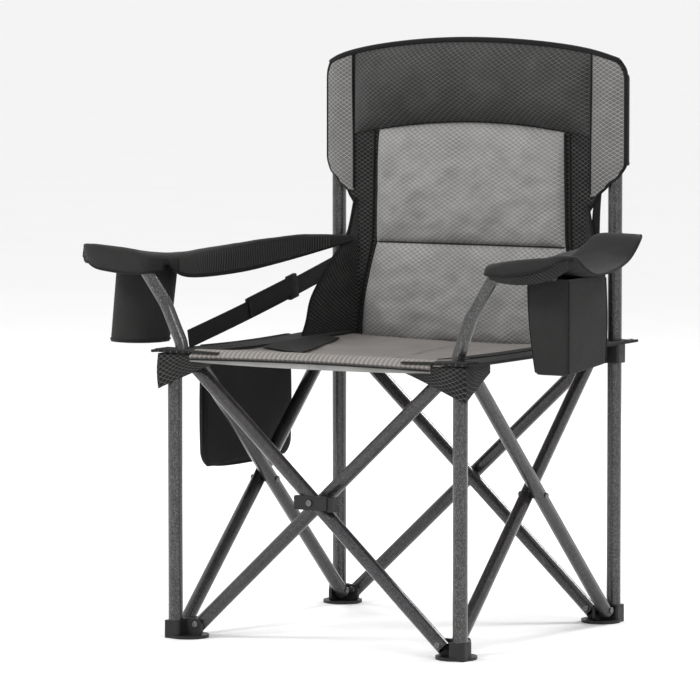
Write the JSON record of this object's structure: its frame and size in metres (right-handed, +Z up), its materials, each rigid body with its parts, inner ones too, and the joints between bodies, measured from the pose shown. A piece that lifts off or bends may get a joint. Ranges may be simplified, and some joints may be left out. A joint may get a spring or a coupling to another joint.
{
  "type": "folding chair",
  "caption": "Folding camp chair with a padded seat and high back, side armrests, a round cup holder, a drink pouch and a side pocket on a cross-braced tube frame.",
  "frame": {"origin": "centre of the chair's box on the floor, which is the middle of the square its four feet stand on", "axes": "+Z up, the sitter faces -Y, +X to the right seen from the front"},
  "size_m": [0.976, 0.616, 1.0159],
  "materials": {
    "tube_paint": "satin hammered paint",
    "foot_plastic": "matte",
    "rivet_steel": "plain domed head",
    "pad_fabric": "quilted lattice print",
    "dark_fabric": "coarse weave",
    "mesh_fabric": "open mesh",
    "webbing": "ribbed webbing"
  },
  "bodies": {
    "rear_left_leg": {"rear_left_foot": "foot_plastic", "rear_left_foot_rivets": "rivet_steel", "rear_left_post": "tube_paint", "rear_left_post_cap": "foot_plastic", "left_post_sleeve": "dark_fabric", "back_panel": "mesh_fabric", "headrest_bolster": "dark_fabric", "upper_back_pad": "pad_fabric", "lower_back_pad": "pad_fabric", "left_back_gusset": "dark_fabric", "right_back_gusset": "dark_fabric"},
    "rear_outer_tube": {"rear_outer_cross_tube": "tube_paint", "rear_centre_rivet": "rivet_steel"},
    "rear_inner_tube": {"rear_inner_cross_tube": "tube_paint"},
    "rear_right_leg": {"rear_right_foot": "foot_plastic", "rear_right_foot_rivets": "rivet_steel", "rear_right_post": "tube_paint", "rear_right_post_cap": "foot_plastic", "right_post_sleeve": "dark_fabric"},
    "rear_left_hub": {"rear_left_slider": "foot_plastic", "rear_left_hub_rivets": "rivet_steel", "left_side_band": "dark_fabric", "side_pocket": "dark_fabric"},
    "rear_right_hub": {"rear_right_slider": "foot_plastic", "rear_right_hub_rivets": "rivet_steel", "right_side_band": "dark_fabric"},
    "right_outer_tube": {"right_outer_cross_tube": "tube_paint", "right_centre_rivet": "rivet_steel"},
    "right_inner_tube": {"right_inner_cross_tube": "tube_paint"},
    "front_right_hub": {"front_right_hub": "foot_plastic", "front_right_hub_rivets": "rivet_steel", "right_arm_tube": "tube_paint", "right_arm_tube_cap": "foot_plastic", "right_corner_pocket": "dark_fabric"},
    "left_inner_tube": {"left_inner_cross_tube": "tube_paint"},
    "left_outer_tube": {"left_outer_cross_tube": "tube_paint", "left_centre_rivet": "rivet_steel"},
    "front_left_leg": {"front_left_foot": "foot_plastic", "front_left_foot_rivets": "rivet_steel", "front_left_leg": "tube_paint"},
    "front_left_hub": {"front_left_hub": "foot_plastic", "front_left_hub_rivets": "rivet_steel", "left_arm_tube": "tube_paint", "left_arm_tube_cap": "foot_plastic", "left_corner_pocket": "dark_fabric"},
    "front_inner_tube": {"front_inner_cross_tube": "tube_paint"},
    "front_outer_tube": {"front_outer_cross_tube": "tube_paint", "front_centre_rivet": "rivet_steel"},
    "front_right_leg": {"front_right_foot": "foot_plastic", "front_right_foot_rivets": "rivet_steel", "front_right_leg": "tube_paint"},
    "front_clip": {"front_cross_clip": "foot_plastic"},
    "seat_left": {"left_seat_panel": "pad_fabric"},
    "seat_right": {"right_seat_panel": "pad_fabric"},
    "armrest_left": {"left_armrest": "dark_fabric", "cup_holder": "dark_fabric"},
    "armrest_right": {"right_armrest": "dark_fabric", "drink_pouch": "dark_fabric"},
    "strap": {"side_strap": "webbing", "strap_slides": "foot_plastic"}
  },
  "joints": [
    {"name": "fold", "type": "hinge", "parent": "rear_left_leg", "child": "rear_outer_tube", "pos_m": [-0.242, 0.2792, 0.024], "axis": [0, -1, 0], "range_deg": [0, 42.28], "deforming": ["back_panel", "headrest_bolster", "upper_back_pad", "lower_back_pad", "left_back_gusset", "right_back_gusset", "left_side_band", "right_side_band", "side_pocket", "left_seat_panel", "right_seat_panel", "left_armrest", "cup_holder", "right_armrest", "drink_pouch", "side_strap", "strap_slides", "left_corner_pocket", "right_corner_pocket"]},
    {"name": "rear_cross", "type": "hinge", "parent": "rear_outer_tube", "child": "rear_inner_tube", "pos_m": [0, 0.2666, 0.2485], "axis": [0, 1, 0], "range_deg": [0, 84.61]},
    {"name": "rear_right_foot_pivot", "type": "hinge", "parent": "rear_inner_tube", "child": "rear_right_leg", "pos_m": [0.242, 0.254, 0.024], "axis": [0, -1, 0], "range_deg": [0, 42.33]},
    {"name": "rear_left_hub_pivot", "type": "hinge", "parent": "rear_inner_tube", "child": "rear_left_hub", "pos_m": [-0.242, 0.254, 0.473], "axis": [0, -1, 0], "range_deg": [0, 42.33]},
    {"name": "rear_right_hub_pivot", "type": "hinge", "parent": "rear_outer_tube", "child": "rear_right_hub", "pos_m": [0.242, 0.2792, 0.473], "axis": [0, 1, 0], "range_deg": [0, 42.33]},
    {"name": "right_outer_foot_pivot", "type": "hinge", "parent": "rear_right_leg", "child": "right_outer_tube", "pos_m": [0.2792, 0.242, 0.024], "axis": [-1, 0, 0], "range_deg": [0, 42.33]},
    {"name": "right_cross", "type": "hinge", "parent": "right_outer_tube", "child": "right_inner_tube", "pos_m": [0.2666, 0, 0.2485], "axis": [1, 0, 0], "range_deg": [0, 84.61]},
    {"name": "front_right_hub_pivot", "type": "hinge", "parent": "right_outer_tube", "child": "front_right_hub", "pos_m": [0.2792, -0.242, 0.473], "axis": [1, 0, 0], "range_deg": [0, 42.33]},
    {"name": "left_inner_foot_pivot", "type": "hinge", "parent": "rear_left_leg", "child": "left_inner_tube", "pos_m": [-0.254, 0.242, 0.024], "axis": [-1, 0, 0], "range_deg": [0, 42.33]},
    {"name": "left_cross", "type": "hinge", "parent": "left_inner_tube", "child": "left_outer_tube", "pos_m": [-0.2666, 0, 0.2485], "axis": [1, 0, 0], "range_deg": [0, 84.61]},
    {"name": "front_left_foot_pivot", "type": "hinge", "parent": "left_outer_tube", "child": "front_left_leg", "pos_m": [-0.2792, -0.242, 0.024], "axis": [-1, 0, 0], "range_deg": [0, 42.33]},
    {"name": "front_left_hub_pivot", "type": "hinge", "parent": "left_inner_tube", "child": "front_left_hub", "pos_m": [-0.254, -0.242, 0.473], "axis": [1, 0, 0], "range_deg": [0, 42.33]},
    {"name": "front_inner_foot_pivot", "type": "hinge", "parent": "front_left_leg", "child": "front_inner_tube", "pos_m": [-0.242, -0.254, 0.024], "axis": [0, -1, 0], "range_deg": [0, 42.33]},
    {"name": "front_cross", "type": "hinge", "parent": "front_inner_tube", "child": "front_outer_tube", "pos_m": [0, -0.2666, 0.2485], "axis": [0, 1, 0], "range_deg": [0, 84.61]},
    {"name": "front_right_foot_pivot", "type": "hinge", "parent": "front_outer_tube", "child": "front_right_leg", "pos_m": [0.242, -0.2792, 0.024], "axis": [0, -1, 0], "range_deg": [0, 42.33]},
    {"name": "front_clip_pivot", "type": "hinge", "parent": "front_outer_tube", "child": "front_clip", "pos_m": [0, -0.2792, 0.2485], "axis": [0, -1, 0], "range_deg": [0, 42.33]},
    {"name": "left_seat_fold", "type": "hinge", "parent": "rear_left_hub", "child": "seat_left", "pos_m": [-0.234, 0, 0.491], "axis": [0, 1, 0], "range_deg": [0, 85.16]},
    {"name": "right_seat_fold", "type": "hinge", "parent": "rear_right_hub", "child": "seat_right", "pos_m": [0.234, 0, 0.491], "axis": [0, -1, 0], "range_deg": [0, 85.16]},
    {"name": "left_armrest_fold", "type": "hinge", "parent": "rear_left_leg", "child": "armrest_left", "pos_m": [-0.262, 0.262, 0.661], "axis": [-1, 0, 0], "range_deg": [0, 59.54]},
    {"name": "right_armrest_fold", "type": "hinge", "parent": "rear_right_leg", "child": "armrest_right", "pos_m": [0.262, 0.262, 0.661], "axis": [-1, 0, 0], "range_deg": [0, 59.54]},
    {"name": "side_strap_fold", "type": "hinge", "parent": "rear_left_leg", "child": "strap", "pos_m": [-0.274, 0.245, 0.609], "axis": [-1, 0, 0], "range_deg": [0, 82.75]}
  ],
  "couplings": [
    {"joint": "rear_cross", "follows": "fold", "ratio": 2},
    {"joint": "rear_right_foot_pivot", "follows": "fold", "ratio": 1},
    {"joint": "rear_left_hub_pivot", "follows": "fold", "ratio": 1},
    {"joint": "rear_right_hub_pivot", "follows": "fold", "ratio": 1},
    {"joint": "right_outer_foot_pivot", "follows": "fold", "ratio": 1},
    {"joint": "right_cross", "follows": "fold", "ratio": 2},
    {"joint": "front_right_hub_pivot", "follows": "fold", "ratio": 1},
    {"joint": "left_inner_foot_pivot", "follows": "fold", "ratio": 1},
    {"joint": "left_cross", "follows": "fold", "ratio": 2},
    {"joint": "front_left_foot_pivot", "follows": "fold", "ratio": 1},
    {"joint": "front_left_hub_pivot", "follows": "fold", "ratio": 1},
    {"joint": "front_inner_foot_pivot", "follows": "fold", "ratio": 1},
    {"joint": "front_cross", "follows": "fold", "ratio": 2},
    {"joint": "front_right_foot_pivot", "follows": "fold", "ratio": 1},
    {"joint": "front_clip_pivot", "follows": "fold", "ratio": 1},
    {"joint": "left_seat_fold", "follows": "fold", "ratio": 2.013},
    {"joint": "right_seat_fold", "follows": "fold", "ratio": 2.013},
    {"joint": "left_armrest_fold", "follows": "fold", "ratio": 1.407},
    {"joint": "right_armrest_fold", "follows": "fold", "ratio": 1.407},
    {"joint": "side_strap_fold", "follows": "fold", "ratio": 1.956}
  ]
}
